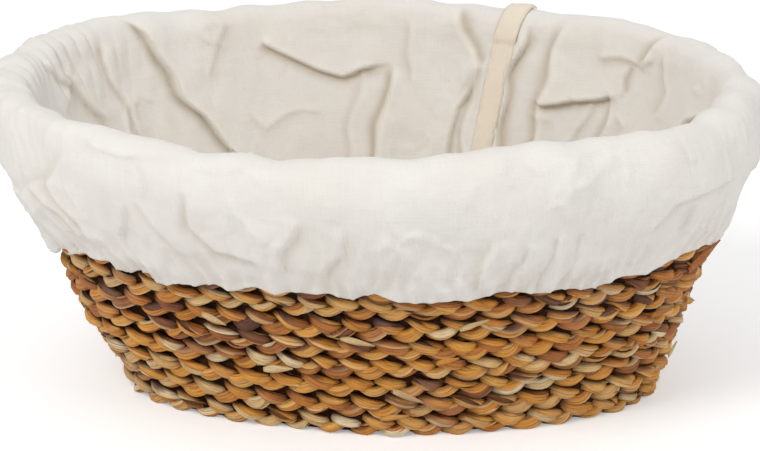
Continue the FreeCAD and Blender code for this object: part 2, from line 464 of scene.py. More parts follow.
def wall_path(turns):
    """The plait's middle line up the wall: level turns that each climb to the next at the back.

    Below turn 0 lies the plait's beginning, which comes out from the base under the first climb.
    """
    whole = np.maximum(np.floor(turns), 0)
    part = turns - whole
    last = ROWS_BELOW_HEM + ROWS_ABOVE_HEM - 1
    climb = smooth(CLIMB_START, 1.0, part)
    height = (1 - climb) * row_middle(whole) + climb * row_middle(np.minimum(whole + 1, last))
    ends = smooth(last + TUCK_START, last + 1.0, turns)
    height = height - END_DROP * ends
    half = plait_half(height) - PLAIT_DEPTH / 2 - END_INSET * ends
    half = half - START_INSET * (1 - smooth(PLAIT_START, 0.0, turns))
    length = turns * WALL_TURN
    half = half + wander(length, 34, 0.45, 11)
    height = height + wander(length, 41, 0.35, 12)
    centre, outward = oval(BACK_MIDDLE + turns, half)
    centre = centre + height[:, None] * np.array([0, 0, 1])
    slope = np.where(height < HEM_HEIGHT, (HEM_HALF - FOOT_HALF) / HEM_HEIGHT,
                     (RIM_HALF - HEM_HALF) / (RIM_HEIGHT - HEM_HEIGHT))
    across = unit(outward * slope[:, None] + np.array([0, 0, 1]))
    face = unit(outward - slope[:, None] * np.array([0, 0, 1]))
    return centre, across, face


def base_path(turns):
    """The plait's middle line in the base, from the centre run outwards."""
    outer = FOOT_HALF - PLAIT_DEPTH
    pitch = outer / BASE_TURNS
    whole = np.floor(turns)
    climb = smooth(CLIMB_START, 1.0, turns - whole)
    half = pitch * (np.minimum(whole + climb, BASE_TURNS - 1) + 0.5)
    half = half + wander(turns * BASE_TURN, 34, 0.3, 21)
    centre, outward = oval(BACK_MIDDLE + turns, half, BOW * half / outer)
    centre = centre + np.array([0, 0, PLAIT_DEPTH / 2])
    face = 0 * outward + np.array([0, 0, -1])
    return centre, -outward, face


def leaf_joints(length, seed):
    """Where one leaf ends and the next begins along a ribbon of the plait."""
    local = np.random.default_rng(seed)
    count = int(length[-1] / LEAF_LENGTH * 1.7) + 4
    return np.cumsum(local.uniform(0.35, 1.5, count) * LEAF_LENGTH) - LEAF_LENGTH


def leaf_tints(length, joints, seed):
    """A tint that changes from leaf to leaf."""
    local = np.random.default_rng(seed)
    tints = local.choice([0.1, 0.24, 0.34, 0.44, 0.52, 0.6, 0.7, 0.84, 0.97], len(joints) + 1,
                         p=[0.07, 0.13, 0.17, 0.2, 0.16, 0.1, 0.07, 0.06, 0.04])
    tints = tints + local.normal(0, 0.03, len(joints) + 1)
    return tints[np.searchsorted(joints, length)]


def section(wide, thick, angle, reach):
    """Across and outward offsets of a slightly squared oval section."""
    c, s = np.cos(angle), np.sin(angle)
    squared = (np.abs(c) ** 2.5 + np.abs(s) ** 2.5) ** (-1 / 2.5) * reach
    return wide * c * squared, thick * s * squared


def strand(path, number, seed, spread):
    """One strand of the plait, as grids of points: a filling and the leaves wrapped round it.

    The strand swings from edge to edge of the plait and dips twice in each swing. Each leaf is a
    ribbon whose one edge is tucked under the next leaf and whose other edge stands free.
    """
    centre, across, face = path
    length = along_path(centre)
    phase = 2 * math.pi * (length / (STROKE * STRAND_COUNT) + number / STRAND_COUNT)
    phase = phase + wander(length, 48, 0.26, 31)
    swing = np.sin(phase) * (1 + wander(length, 17, 0.1, seed))
    dip = -np.sin(2 * phase)
    middle = centre + across * (spread * swing)[:, None] + face * (DIP * dip)[:, None]
    middle = middle + across * wander(length, 11, 0.26, seed + 1)[:, None]
    middle = middle + face * wander(length, 9, 0.26, seed + 2)[:, None]

    forward = unit(np.gradient(middle, axis=0))
    side = unit(np.cross(face, forward))
    out = np.cross(forward, side)
    scale = spread / WALL_SPREAD
    wide = scale * STRAND_ACROSS * (1 + wander(length, 16, 0.13, seed + 5))[:, None]
    thick = STRAND_DEEP * (1 + wander(length, 14, 0.13, seed + 6))[:, None]
    level = middle[:, None, 2] / RIM_HEIGHT
    row_tint = LOW_TINT * (1 - smooth(0.08, 0.32, level)) - HIGH_TINT * smooth(0.3, 0.55, level)

    def grid(angle, reach, tint, pale, painted_shade, flat_across):
        x, y = section(wide, thick, angle, reach)
        points = middle[:, None, :] + side[:, None, :] * x[..., None]
        points = points + out[:, None, :] * y[..., None]
        points[..., 2] = np.maximum(points[..., 2], TABLE_GAP)
        offset = points - centre[:, None, :]
        depth = np.abs(np.sum(offset * face[:, None, :], axis=-1))
        edge = np.abs(np.sum(offset * across[:, None, :], axis=-1))
        # Painted shade where the strand lies deep in the plait and in the grooves between rows.
        recess_shade = np.maximum(1 - smooth(0.3, 2.9, depth), 0.9 * smooth(4.0, 5.4, edge))
        painted_shade = np.maximum(painted_shade, recess_shade)
        colour = np.stack(np.broadcast_arrays(tint + row_tint, pale, painted_shade), axis=-1)
        flat = np.stack(np.broadcast_arrays(length[:, None], flat_across), axis=-1)
        return lean(points), flat, colour

    around = np.linspace(0, 2 * math.pi, CORE_SIDES + 1)[None, :]
    # The strand's filling, darkened with painted shade.
    grids = [grid(around + 0 * length[:, None], 0.8, 0.2, 0.0, 0.75, around * 2.0)]
    twist = wander(length, 30, 0.8, seed + 3) + length / 45
    step = 2 * math.pi / LEAVES
    u = np.linspace(0, 1, LEAF_COLUMNS)[None, :]
    for leaf in range(LEAVES):
        key = seed * 13 + leaf * 101
        joints = leaf_joints(length, key)
        tints = leaf_tints(length, joints, key + 1)[:, None]
        near = np.min(np.abs(length[:, None] - joints[None, :]), axis=1)
        taper = smooth(0, 9, near)[:, None]
        tucked = (twist + step * (leaf - 0.38) + wander(length, 13, 0.14, key + 2))[:, None]
        span = step * 1.5 * (0.3 + 0.7 * taper) * (1 + wander(length, 15, 0.12, key + 3))[:, None]
        curl = 0.16 + 0.11 * np.abs(wander(length, 18, 1.0, key + 4))[:, None] + 0.08 * (1 - taper)
        reach = 0.9 + curl * u ** 1.6 - 0.02 * np.sin(math.pi * u)
        worn = smooth(0, 0.8, wander(length, 30, 0.7, key + 5))[:, None]
        pale = np.exp(-((1 - u) / 0.1) ** 2) * worn
        # Painted shade on each leaf's tucked edge, under the next leaf.
        painted_shade = 0.6 * (1 - smooth(0.0, 0.35, u))
        flat_across = leaf * LEAF_STEP + number * STRAND_STEP + LEAF_WIDTH * u
        grids.append(grid(tucked + span * u, reach, tints, pale, painted_shade, flat_across))
    return grids


def plait_shade_core(path, spread):
    """A filling inside the plait, so that light doesn't pass through the gaps; its near-black colour
    is painted shade.
    """
    centre, across, face = path
    around = np.linspace(0, 2 * math.pi, 9)[None, :, None]
    points = (centre[:, None, :] + across[:, None, :] * (np.cos(around) * (spread + 2.2))
              + face[:, None, :] * (np.sin(around) * 1.5))
    points[..., 2] = np.maximum(points[..., 2], TABLE_GAP)
    return lean(points), np.zeros(points.shape[:2] + (2,))


def plait(name, path, node, seed, spread=WALL_SPREAD):
    """One stretch of plait, standing for its CAD node, in pieces of about one turn."""
    grids = []
    for number in range(STRAND_COUNT):
        grids += strand(path, number, seed + 20 * number, spread)
    core = plait_shade_core(path, spread)
    samples = len(path[0])
    pieces = max(1, round(samples / PIECE_SAMPLES))
    ends = np.linspace(0, samples - 1, pieces + 1).astype(int)
    for k, (first, last) in enumerate(zip(ends, ends[1:])):
        leaves = Mesh()
        for points, flat, colour in grids:
            leaves.add(points[first:last + 1], flat[first:last + 1], colour[first:last + 1])
        piece = leaves.build(f"{name}_{k + 1:02d}", LEAF, "basket")
        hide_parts(node)
        filling = Mesh()
        filling.add(core[0][first:last + 1], core[1][first:last + 1])
        filling.build(f"{name}_core_{k + 1:02d}", CORE, "basket")


plait("plait_base", even_path(base_path, 0.0, BASE_TURNS - 0.02), "base_plait", 900, BASE_SPREAD)
plait("plait_wall_start", even_path(wall_path, PLAIT_START, 0.0), "wall_plait", 700)
plait("plait_wall_low", even_path(wall_path, 0.0, ROWS_BELOW_HEM), "wall_plait", 100)
plait("plait_wall_high", even_path(wall_path, ROWS_BELOW_HEM, ROWS_BELOW_HEM + ROWS_ABOVE_HEM),
      "wall_plait", 300)


# The liner

PANEL_HALF = 85.0
ROUND = round_length(PANEL_HALF)
WALL_COLUMNS = 760
PROFILE_ROWS = 200
FLOOR_EDGE = FLOOR_HALF - 1.4
CLOTH_THICKNESS = 0.55
SEAM_THICKNESS = 0.5
ELASTIC_THICKNESS = 0.8
ELASTIC_LOW = 69
ELASTIC_HIGH = 75
ELASTIC_LIFT = 0.8
LEAF_THICKNESS = 0.35
# Half width and height of the cloth, from the floor's edge over the rim to the hem, and up
# again inside the hem.
PROFILE = [
    (FLOOR_EDGE, 10.9), (68.0, 61.5), (79.5, 96.5), (85.3, 114.5), (87.0, 120.0), (89.4, 124.4),
    (93.2, 126.8), (97.6, 126.6), (101.6, 123.4), (104.0, 117.5), (104.4, 109.5), (102.4, 100.0),
    (98.9, 90.0), (95.0, 81.5), (90.6, 74.0), (87.0, 68.5), (86.2, 66.2), (85.7, 66.6),
    (86.1, 70.0), (87.2, 75.5),
]


def catmull(points, rows):
    """A smooth line through the points, at rows even steps of its length."""
    points = np.array(points)
    padded = np.vstack([2 * points[0] - points[1], points, 2 * points[-1] - points[-2]])
    fine = []
    for k in range(len(points) - 1):
        t = np.linspace(0, 1, 40, endpoint=False)[:, None]
        a, b, c, d = padded[k:k + 4]
        fine.append(0.5 * (2 * b + (c - a) * t + (2 * a - 5 * b + 4 * c - d) * t ** 2
                           + (3 * b - a - 3 * c + d) * t ** 3))
    fine = np.vstack(fine + [points[-1:]])
    length = along_path(fine)
    even = np.linspace(0, length[-1], rows)
    return np.stack([np.interp(even, length, fine[:, k]) for k in (0, 1)], axis=-1), even


profile_line, profile_length = catmull(PROFILE, 1200)
CREST_LENGTH = profile_length[np.argmax(profile_line[:, 1])]
past_crest = profile_length > CREST_LENGTH
HEM_LENGTH = profile_length[np.argmin(np.where(past_crest, profile_line[:, 1], np.inf))]
CLOTH_LENGTH = profile_length[-1]


def round_place(x, back):
    """Distance round the oval of a point on its back or front, from its place along X."""
    share = np.linspace(0, 0.5, 400) if back else np.linspace(1, 0.5, 400)
    points, _ = oval(share, PANEL_HALF)
    return np.interp(-x, -points[:, 0], share) * ROUND


# Folds as (places (x, height), depth, spread). Each is a sharp step along its line. The cloth on
# the left of the line's direction, seen from in front of the basket, stands forward.
FOLD_EDGE = 0.9
LINE_SHIFT = 1.1
INSIDE_FOLDS = [
    ([(-98, 130), (-95, 123), (-91, 112), (-86, 97), (-80, 84), (-74, 73), (-67, 58),
      (-60, 42)], 5.5, 11),
    ([(-110, 123), (-111, 115), (-109, 98), (-106, 80)], 1.7, 6),
    ([(-125, 117), (-123, 105), (-118, 90)], 1.7, 6),
    ([(-129, 125), (-127, 115), (-121, 98), (-116, 80)], 1.7, 6),
    ([(-77, 102), (-70, 112), (-62, 124)], 1.0, 7),
    ([(-52, 114), (-48, 112), (-39, 108), (-30, 104), (-19, 101), (-11, 103), (4, 102)], 2.9, 8),
    ([(4, 103), (-1, 92), (-3, 84), (-8, 69), (-13, 50)], 3.0, 7),
    ([(-11, 105), (-14, 90), (-19, 72), (-22, 60)], 1.1, 3),
    ([(-62, 90), (-56, 82), (-48, 84), (-38, 86), (-26, 86)], 0.8, 3),
    ([(10, 124), (9, 108), (10, 93)], 1.0, 5),
    ([(41, 104), (38, 108), (34, 118), (28, 129)], 2.6, 7),
    ([(22, 58), (26, 72), (30, 90), (36, 98), (41, 106)], 2.2, 9),
    ([(48, 58), (50, 73), (54, 99), (55.5, 110), (58, 125)], 3.2, 9),
    ([(39, 106), (35, 90), (33, 72), (30, 55)], 1.7, 4),
    ([(73, 128), (69, 115), (67, 102), (66, 88), (64, 76), (60, 58)], 2.3, 8),
    ([(64, 93), (69, 94), (78, 97), (89, 99), (100, 102)], 3.6, 8),
    ([(96, 103), (95, 98), (94, 86), (91, 68)], 1.9, 4),
    ([(80, 76), (83, 86), (88, 99)], 1.2, 4),
    ([(86, 114), (95, 115), (104, 114)], 1.5, 3.5),
    ([(110, 128), (106, 121), (103, 113)], 2.2, 4),
    ([(102, 101), (100, 106), (99, 113)], 2.2, 3.5),
    ([(102, 113), (109, 119)], 1.1, 3),
    ([(122, 90), (127, 102), (131, 113), (135, 126)], 3.2, 6),
    ([(62, 86), (73, 88)], 0.9, 2.5),
    ([(98, 94), (103, 89)], 0.9, 2.5),
    ([(112, 122), (116, 108), (114, 94)], 1.2, 6),
]
INSIDE_FRONT_FOLDS = [
    ([(-90, 125), (-76, 100), (-68, 80), (-60, 50)], 2.4, 7),
    ([(-22, 125), (-26, 95), (-18, 55)], 1.9, 6),
    ([(35, 124), (50, 96), (52, 55)], 2.3, 7),
    ([(104, 122), (88, 92), (80, 60)], 2.0, 6),
    ([(-50, 104), (-20, 98), (10, 101)], 1.6, 7),
]
OUTSIDE_FOLDS = [
    ([(-93, 119), (-104, 104), (-116, 95), (-128, 88)], 1.5, 6),
    ([(-105, 106), (-101, 92), (-97, 78)], 2.8, 5),
    ([(-116, 97), (-117, 70)], 2.5, 4),
    ([(-110, 100), (-105, 88), (-101, 76)], 2.5, 4),
    ([(-71, 101), (-72, 120)], 0.9, 3),
    ([(-84, 84), (-77, 103)], 1.3, 4),
    ([(-73, 105), (-67, 92), (-61, 80)], 1.3, 4),
    ([(-55, 115), (-54, 96), (-51, 87), (-42, 83), (-36, 83)], 2.4, 8),
    ([(-31, 77), (-26, 88), (-19, 102)], 1.9, 6),
    ([(-16, 75), (-12, 86), (-6, 102)], 1.6, 5),
    ([(42, 96), (38, 68)], 1.5, 4),
    ([(51, 94), (50, 68)], 1.5, 4),
    ([(62, 95), (60, 68)], 1.5, 4),
    ([(72, 94), (69, 68)], 1.3, 4),
    ([(92, 86), (96, 92), (103, 101), (113, 102), (120, 102)], 1.9, 6),
    ([(109, 98), (106, 84)], 1.5, 4),
    ([(127, 103), (132, 84)], 1.1, 4),
    ([(53, 124), (58, 119)], 0.8, 2.5),
    ([(103, 124), (105, 115)], 0.8, 2.5),
    ([(-96, 124), (-74, 121), (-52, 124)], 1.1, 4),
]
OUTSIDE_BACK_FOLDS = [
    ([(-100, 118), (-86, 100), (-80, 78)], 2.0, 5),
    ([(-30, 120), (-40, 102), (-38, 76)], 1.7, 5),
    ([(15, 118), (24, 98), (20, 76)], 1.8, 5),
    ([(92, 120), (80, 100), (84, 76)], 1.9, 5),
]


def fold_field(place, height, folds, back):
    """How far a set of folds stands forward, with the painted shade along each fold's line and the
    painted highlight beside it.
    """
    hand = -1 if back else 1
    shift = 0 * place
    painted_shade = 0 * place
    pale = 0 * place
    for spots, depth, spread in folds:
        spots = [(round_place(x, back), z) for x, z in spots]
        nearest = np.full(place.shape, 1e9)
        side = 0 * place
        along = 0 * place
        for k, ((a0, z0), (a1, z1)) in enumerate(zip(spots, spots[1:])):
            da, dz = a1 - a0, z1 - z0
            t = np.clip(((place - a0) * da + (height - z0) * dz) / (da * da + dz * dz), 0, 1)
            off_a, off_z = place - a0 - t * da, height - z0 - t * dz
            distance = np.hypot(off_a, off_z)
            closer = distance < nearest
            nearest = np.where(closer, distance, nearest)
            side = np.where(closer, hand * np.sign(da * off_z - dz * off_a) * distance, side)
            along = np.where(closer, (k + t) / (len(spots) - 1), along)
        fade = smooth(0, 0.16, along) * smooth(0, 0.16, 1 - along)
        step = smooth(-FOLD_EDGE, FOLD_EDGE, side)
        ridge = step * np.exp(-np.abs(side / spread) ** 1.3)
        hollow = (1 - step) * np.exp(-(side / (0.7 * spread)) ** 2)
        shift += depth * fade * (0.8 * ridge - 0.3 * hollow)
        mark = fade * min(1.0, depth / 2.8)
        blur = np.where(side > -LINE_SHIFT, 1.0, 2.4)
        # Painted shade along the fold's line.
        painted_shade = np.maximum(painted_shade, mark * np.exp(-((side + LINE_SHIFT) / blur) ** 2))
        # Painted highlight on the ridge beside the line.
        pale = np.maximum(pale, mark * np.exp(-((side - 1.3) / 1.1) ** 2))
    return np.stack([shift, painted_shade, pale])


def waves(around, along, count, low, high, seed, tilt=0.6):
    """Irregular ripples that close on themselves round the oval.

    They are count sines with low to high - 1 crests each, which slant by a random tilt.
    """
    local = np.random.default_rng(seed)
    total = 0 * around
    for _ in range(count):
        turns = local.integers(low, high)
        lift = local.normal(0, tilt) * turns / ROUND * 2 * math.pi
        total += np.sin(2 * math.pi * turns * around / ROUND + lift * along
                        + local.uniform(0, 2 * math.pi))
    return total / math.sqrt(count)


def field_noise(points, scale, seed, ridged=False):
    """Blender's noise at every point, for creases without a pattern."""
    flat = (points.reshape(-1, 3) * scale + seed).tolist()
    if ridged:
        values = [noise.ridged_multi_fractal(p, 0.9, 2.1, 4, 1.0, 2.0) for p in flat]
    else:
        values = [noise.fractal(p, 0.8, 2.1, 4) for p in flat]
    return np.array(values).reshape(points.shape[:-1])


# How high the fold over the rim stands above or below its mean, by place along X.
CREST_FRONT = [(-116, -1), (-88, -0.4), (-70, -1.8), (-57, -3.9), (-38, -3.3), (-28, -5.0),
               (-19, -3.1), (-8, -2.7), (6, -2.6), (22, -2.1), (44, 0), (58, 1.1), (73, 0),
               (97, -0.7), (116, -1.9)]
CREST_BACK = [(-115, 1.5), (-93, 1.2), (-60, -1.5), (-37, -0.8), (-3, 1.2), (20, 0.6), (43, -1),
              (54, 0.6), (66, -0.9), (88, 1.5), (100, -0.4), (121, 0)]
# How high the hem hangs above its mean.
HEM_FRONT = [(-132, -11), (-126, -5), (-114, 2.6), (-102, 2.8), (-90, 1.8), (-79, -0.5),
             (-57, 1.4), (-26, 2.2), (6, 1.6), (16, -0.2), (26, -1.6), (37, 1), (58, 1.6),
             (78, -0.6), (89, 2.1), (100, 2), (110, 5), (121, 5), (129, 0)]
HEM_BACK = [(-132, -11), (-120, -2), (-60, 2), (0, 0), (60, 3), (129, 0)]


def by_place(place, front, back):
    """A value round the oval, given along its front and its back."""
    spots = sorted([(round_place(x, False), v) for x, v in front]
                   + [(round_place(x, True), v) for x, v in back])
    a, v = np.array(spots).T
    a = np.concatenate([a - ROUND, a, a + ROUND])
    return np.interp(place % ROUND, a, np.tile(v, 3))


def crease_net(points, size, seed):
    """Thin crossing creases, along the borders between cells of cloth."""
    drift = field_noise(points, 0.9 / size, seed + 20)
    flat = ((points + 0.25 * size * drift[..., None]).reshape(-1, 3) / size + seed).tolist()
    near = [noise.voronoi(p)[0] for p in flat]
    gap = np.array([d[1] - d[0] for d in near]).reshape(points.shape[:-1])
    return np.exp(-(gap / 0.07) ** 2) - 0.5 * smooth(0.0, 0.5, gap)


# Reaches along the cloth, and round it as a share of a turn.
HEM_REACH = 15
CREST_REACH = 24
END_SPAN = 0.09
# How far the cuff pulls in at the left end and the right end.
LEFT_PINCH = 3.6
RIGHT_PINCH = 2.6
# Height of the gathers' crests, their depth below them and the most that they go inwards.
GATHER_CREST = 2.5
GATHER_DEPTH = 3.9
GATHER_INWARD = 0.7


def cloth(share, run):
    """The liner's cloth at a share of the way round and a run from the floor's edge."""
    turn = share % 1
    place = turn * ROUND
    half = np.interp(run, profile_length, profile_line[:, 0])
    height = np.interp(run, profile_length, profile_line[:, 1])
    inside = 1 - smooth(CREST_LENGTH - 8, CREST_LENGTH + 1, run)
    outside = smooth(CREST_LENGTH + 1, CREST_LENGTH + 10, run)
    hem_near = np.exp(-np.abs(run - HEM_LENGTH) / HEM_REACH)
    crest_near = np.exp(-((run - CREST_LENGTH) / CREST_REACH) ** 2)
    skirt = outside * (1 - smooth(HEM_LENGTH - 22, HEM_LENGTH, run))
    back = smooth(0.0, 0.04, turn) * (1 - smooth(0.46, 0.5, turn))
    left_end = np.exp(-((turn - 0.5) / END_SPAN) ** 2)
    right_end = np.exp(-(((share + 0.5) % 1 - 0.5) / END_SPAN) ** 2)

    # The fold over the rim and the hem rise and fall, and the cuff pulls in at both ends.
    warp = waves(place, height, 5, 3, 9, 51) * 4
    hem_lift = by_place(place, HEM_FRONT, HEM_BACK)
    height = height + crest_near * by_place(place, CREST_FRONT, CREST_BACK)
    height = height + crest_near * 0.4 * waves(place, height, 7, 14, 52, 63, 0.3)
    height = height + hem_lift * smooth(CREST_LENGTH + 20, HEM_LENGTH, run)
    half = half + hem_lift * 0.2 * smooth(CREST_LENGTH + 20, HEM_LENGTH, run)
    half = half - LEFT_PINCH * left_end * np.exp(-((height - 112) / 12) ** 2) * outside
    half = half - RIGHT_PINCH * right_end * np.exp(-((height - 89) / 11) ** 2) * outside

    # Folds. Inside, the cloth stands off the plait and never goes through it.
    lift = smooth(0, 30, run) * (0.8 * waves(place + warp, height, 7, 4, 16, 52, 0.4) + 0.6)
    bent_place = place + 1.7 * waves(place, height, 5, 6, 15, 61, 1.0)
    bent_height = height + 1.3 * waves(place, height, 5, 8, 20, 62, 0.8)
    inner = back * fold_field(bent_place, bent_height, INSIDE_FOLDS, True)
    inner += (1 - back) * fold_field(bent_place, bent_height, INSIDE_FRONT_FOLDS, False)
    outer = back * fold_field(bent_place, bent_height, OUTSIDE_BACK_FOLDS, True)
    outer += (1 - back) * fold_field(bent_place, bent_height, OUTSIDE_FOLDS, False)
    lift += inner[0]
    room = plait_half(np.minimum(height, RIM_HEIGHT)) - PLAIT_DEPTH - 0.6 - half
    room = np.maximum(room, 0) + 3 * smooth(RIM_HEIGHT - 3, RIM_HEIGHT, height)
    shift = -inside * np.maximum(lift, -room)
    shift += skirt * 0.8 * waves(place + warp, height, 7, 6, 24, 53, 0.8)
    shift += crest_near * 0.75 * waves(place, height, 6, 8, 40, 54, 0.3)
    shift += outside * outer[0]
    wrinkle = 1 - 2 * np.abs(np.tanh(1.2 * waves(place, height, 6, 40, 76, 59, 0.3)))
    shift += crest_near * left_end * 1.4 * wrinkle

    # Gathers that the elastic draws up at the hem.
    pucker = waves(place + 3 * waves(place, height, 4, 5, 12, 55, 0), height, 9, 40, 72, 56, 0.25)
    strength = 0.75 + 0.35 * waves(place, height, 5, 2, 9, 58, 0)
    tuck = np.abs(np.tanh(1.1 * pucker))
    gathers = np.maximum(GATHER_CREST - GATHER_DEPTH * tuck, -GATHER_INWARD)
    gathers *= outside * hem_near * strength
    gathers *= 1 - 0.6 * smooth(HEM_LENGTH - 5, HEM_LENGTH + 3, run)
    height = height + outside * hem_near * 0.8 * waves(place, height, 7, 24, 60, 57, 0)
    shift += gathers

    # Crumples and thin creases.
    centre, outward = oval(share, half)
    points = centre + outward * shift[..., None]
    points[..., 2] = height
    shape = points * np.array([1, 1, 0.6])
    crumple = 0.8 * field_noise(shape, 0.05, 3.7) + 0.22 * field_noise(shape, 0.16, 9.1)
    mask = smooth(-0.15, 0.35, field_noise(shape, 0.022, 6.2))
    creases = 0.9 * mask * crease_net(shape, 26.0, 5.5)
    creases += 0.3 * mask * crease_net(shape, 12.0, 2.5)
    calm = smooth(0, 16, run) * (1 - 0.8 * smooth(HEM_LENGTH - 3, HEM_LENGTH, run))
    extra = calm * (crumple + creases * (outside - inside))
    points = points + outward * extra[..., None]
    points[..., 2] += 0.4 * np.abs(extra) * crest_near

    # Painted shade: the inside a little darker all over, less at the left end and more along its
    # folds; outside along the folds and in the gathers' hollows.
    shade = inside * (0.12 - 0.12 * left_end + 0.6 * inner[1])
    shade += outside * (0.3 * outer[1] + 0.42 * hem_near * np.tanh(pucker) ** 2)
    # The second part is painted highlight beside the inside folds.
    colour = np.stack([0 * place, 0.5 * inside * inner[2], shade], axis=-1)
    return lean(points), outward, colour


def liner_cloth():
    """The side panel: inside the basket, over the rim and down to the gathered hem."""
    share = np.linspace(0, 1, WALL_COLUMNS, endpoint=False)
    run = np.linspace(0, CLOTH_LENGTH, PROFILE_ROWS)
    shares, runs = np.meshgrid(share, run)
    points, _, colour = cloth(shares, runs)
    flat_share = np.linspace(0, 1, WALL_COLUMNS + 1)
    flat = np.stack(np.meshgrid(flat_share * ROUND, run), axis=-1)
    mesh = Mesh()
    mesh.add(points, flat, colour, (False, True))
    piece = mesh.build("liner_cloth", COTTON, "liner")
    thicken(piece, CLOTH_THICKNESS, 0)
    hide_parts("liner_wall", "liner_cuff")


def bottom_cloth():
    """The bottom panel, sewn to the side panel along its edge."""
    share = np.linspace(0, 1, 220, endpoint=False)
    rings = np.linspace(0.001, 1, 26)
    shares, scales = np.meshgrid(share, rings)
    points, _ = oval(shares, FLOOR_EDGE * scales, BOW * scales)
    points[..., 2] = FLOOR_HEIGHT + 0.2
    ripple = 0.7 * field_noise(points, 0.03, 2.2)
    ripple += 0.5 * field_noise(points, 0.012, 8.0, ridged=True)
    points[..., 2] += np.clip(ripple, 0, 3) * (1 - smooth(0.55, 0.76, scales))
    flat = np.concatenate([points, points[:, :1]], axis=1)[..., :2]
    mesh = Mesh()
    mesh.add(points, flat, None, (False, True))
    piece = mesh.build("bottom_cloth", COTTON, "liner")
    thicken(piece, CLOTH_THICKNESS)
    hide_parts("liner_bottom")


SEAM_TOP = 50.0
SEAM_FOOT = 36.0
SEAM_WIDTH = 10.5
# Distance below the crest of the step where the seam's end is folded back.
FLAP = 15
BOTTOM_SEAM_ROUND = 420


def seam_share(height, across):
    """Where the felled seam lies at a height, and a step across it."""
    x = SEAM_FOOT + (SEAM_TOP - SEAM_FOOT) * (np.clip(height, 0, None) / RIM_HEIGHT) ** 1.5
    return (round_place(x, True) - across) / ROUND


def side_seam():
    """The felled seam down the back, two layers thick, lying on the side panel."""
    run = np.linspace(3, CREST_LENGTH + 4, 110)
    across = np.linspace(-SEAM_WIDTH / 2, SEAM_WIDTH / 2, 9)
    runs, sides = np.meshgrid(run, across, indexing="ij")
    height = np.interp(runs, profile_length, profile_line[:, 1])
    share = seam_share(height, sides)
    points, outward, _ = cloth(share, runs)
    edge = np.abs(sides) / (SEAM_WIDTH / 2)
    lifted = 0.95 * (1 - smooth(0.86, 1.0, edge)) + 0.3
    lifted += 0.12 * np.sin(runs * 0.9) * smooth(0.3, 0.8, edge)
    lifted += 0.8 * smooth(CREST_LENGTH - FLAP - 0.5, CREST_LENGTH - FLAP + 0.5, runs)
    over = smooth(CREST_LENGTH - 8, CREST_LENGTH, runs)
    points = points - outward * (lifted * (1 - over))[..., None]
    points[..., 2] += lifted * over
    mesh = Mesh()
    mesh.add(points, np.stack([sides, runs], axis=-1))
    piece = mesh.build("side_seam_fell", SEAM_COTTON, "liner")
    thicken(piece, SEAM_THICKNESS)
    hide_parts("side_seam")


def bottom_seam():
    """The seam allowance round the bottom panel, folded flat on it."""
    share = np.linspace(0, 1, 240, endpoint=False)
    steps = np.linspace(0, 1, 7)
    shares, across = np.meshgrid(share, steps)
    scale = 1 - across * SEAM_WIDTH / FLOOR_EDGE - 0.012
    points, _ = oval(shares, FLOOR_EDGE * scale, BOW * scale)
    points[..., 2] = FLOOR_HEIGHT + 1.3 + 0.25 * field_noise(points, 0.07, 1.4)
    points[..., 2] -= 0.5 * smooth(0.8, 1.0, across)
    flat = np.stack(np.meshgrid(np.linspace(0, BOTTOM_SEAM_ROUND, 241), steps * SEAM_WIDTH), axis=-1)
    mesh = Mesh()
    mesh.add(points, flat, None, (False, True))
    piece = mesh.build("bottom_seam_fold", SEAM_COTTON, "liner")
    thicken(piece, SEAM_THICKNESS)
    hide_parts("bottom_seam")


def hem_elastic():
    """The elastic inside the hem."""
    share = np.linspace(0, 1, 420, endpoint=False)
    heights = np.linspace(ELASTIC_LOW, ELASTIC_HIGH, 5)
    shares, height = np.meshgrid(share, heights)
    lift = by_place(shares * ROUND, HEM_FRONT, HEM_BACK)
    points, outward = oval(shares, plait_half(height + lift) + ELASTIC_LIFT)
    points[..., 2] = height + lift
    flat = np.stack(np.meshgrid(np.linspace(0, 1, 421) * ROUND, heights), axis=-1)
    mesh = Mesh()
    mesh.add(lean(points), flat, None, (False, True))
    piece = mesh.build("hem_elastic", ELASTIC, "liner")
    thicken(piece, ELASTIC_THICKNESS)
    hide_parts("elastic")


STITCH = 4.0
STITCH_SHARE = 0.62
STITCH_INSET = 1.4
STITCH_LIFT = 1.35
THREAD_RADIUS = 0.24


def thread(mesh, path, radius):
    """A short round thread along a path of points."""
    forward = unit(np.gradient(path, axis=0))
    side = unit(np.cross(forward, np.array([0.3, 0.2, 0.93])))
    up = np.cross(forward, side)
    around = np.linspace(0, 2 * math.pi, 6, endpoint=False)
    taper = np.sin(np.linspace(0.35, math.pi - 0.35, len(path)))[:, None, None] * radius
    points = (path[:, None, :] + side[:, None, :] * np.cos(around)[None, :, None] * taper
              + up[:, None, :] * np.sin(around)[None, :, None] * taper)
    mesh.add(points, np.zeros((len(path), 7, 2)), None, (False, True))


def stitches():
    """The two lines of stitching down the felled seam."""
    mesh = Mesh()
    for side in (-1, 1):
        for k in range(int((CREST_LENGTH - 8) / STITCH)):
            run = 6 + (k + np.linspace(0, STITCH_SHARE, 4)) * STITCH
            height = np.interp(run, profile_length, profile_line[:, 1])
            share = seam_share(height, side * (SEAM_WIDTH / 2 - STITCH_INSET))
            points, outward, _ = cloth(share, run)
            thread(mesh, points - outward * STITCH_LIFT, THREAD_RADIUS)
    mesh.build("stitches", THREAD, "liner")


# Share of the way round, height, length, width, lift, tint and slope of the tip in the photo.
LONG_TIP = (0.945, 61.0, 14.0, 4.2, 1.8, 0.3, 0.6)
SMALL_TIPS = 34


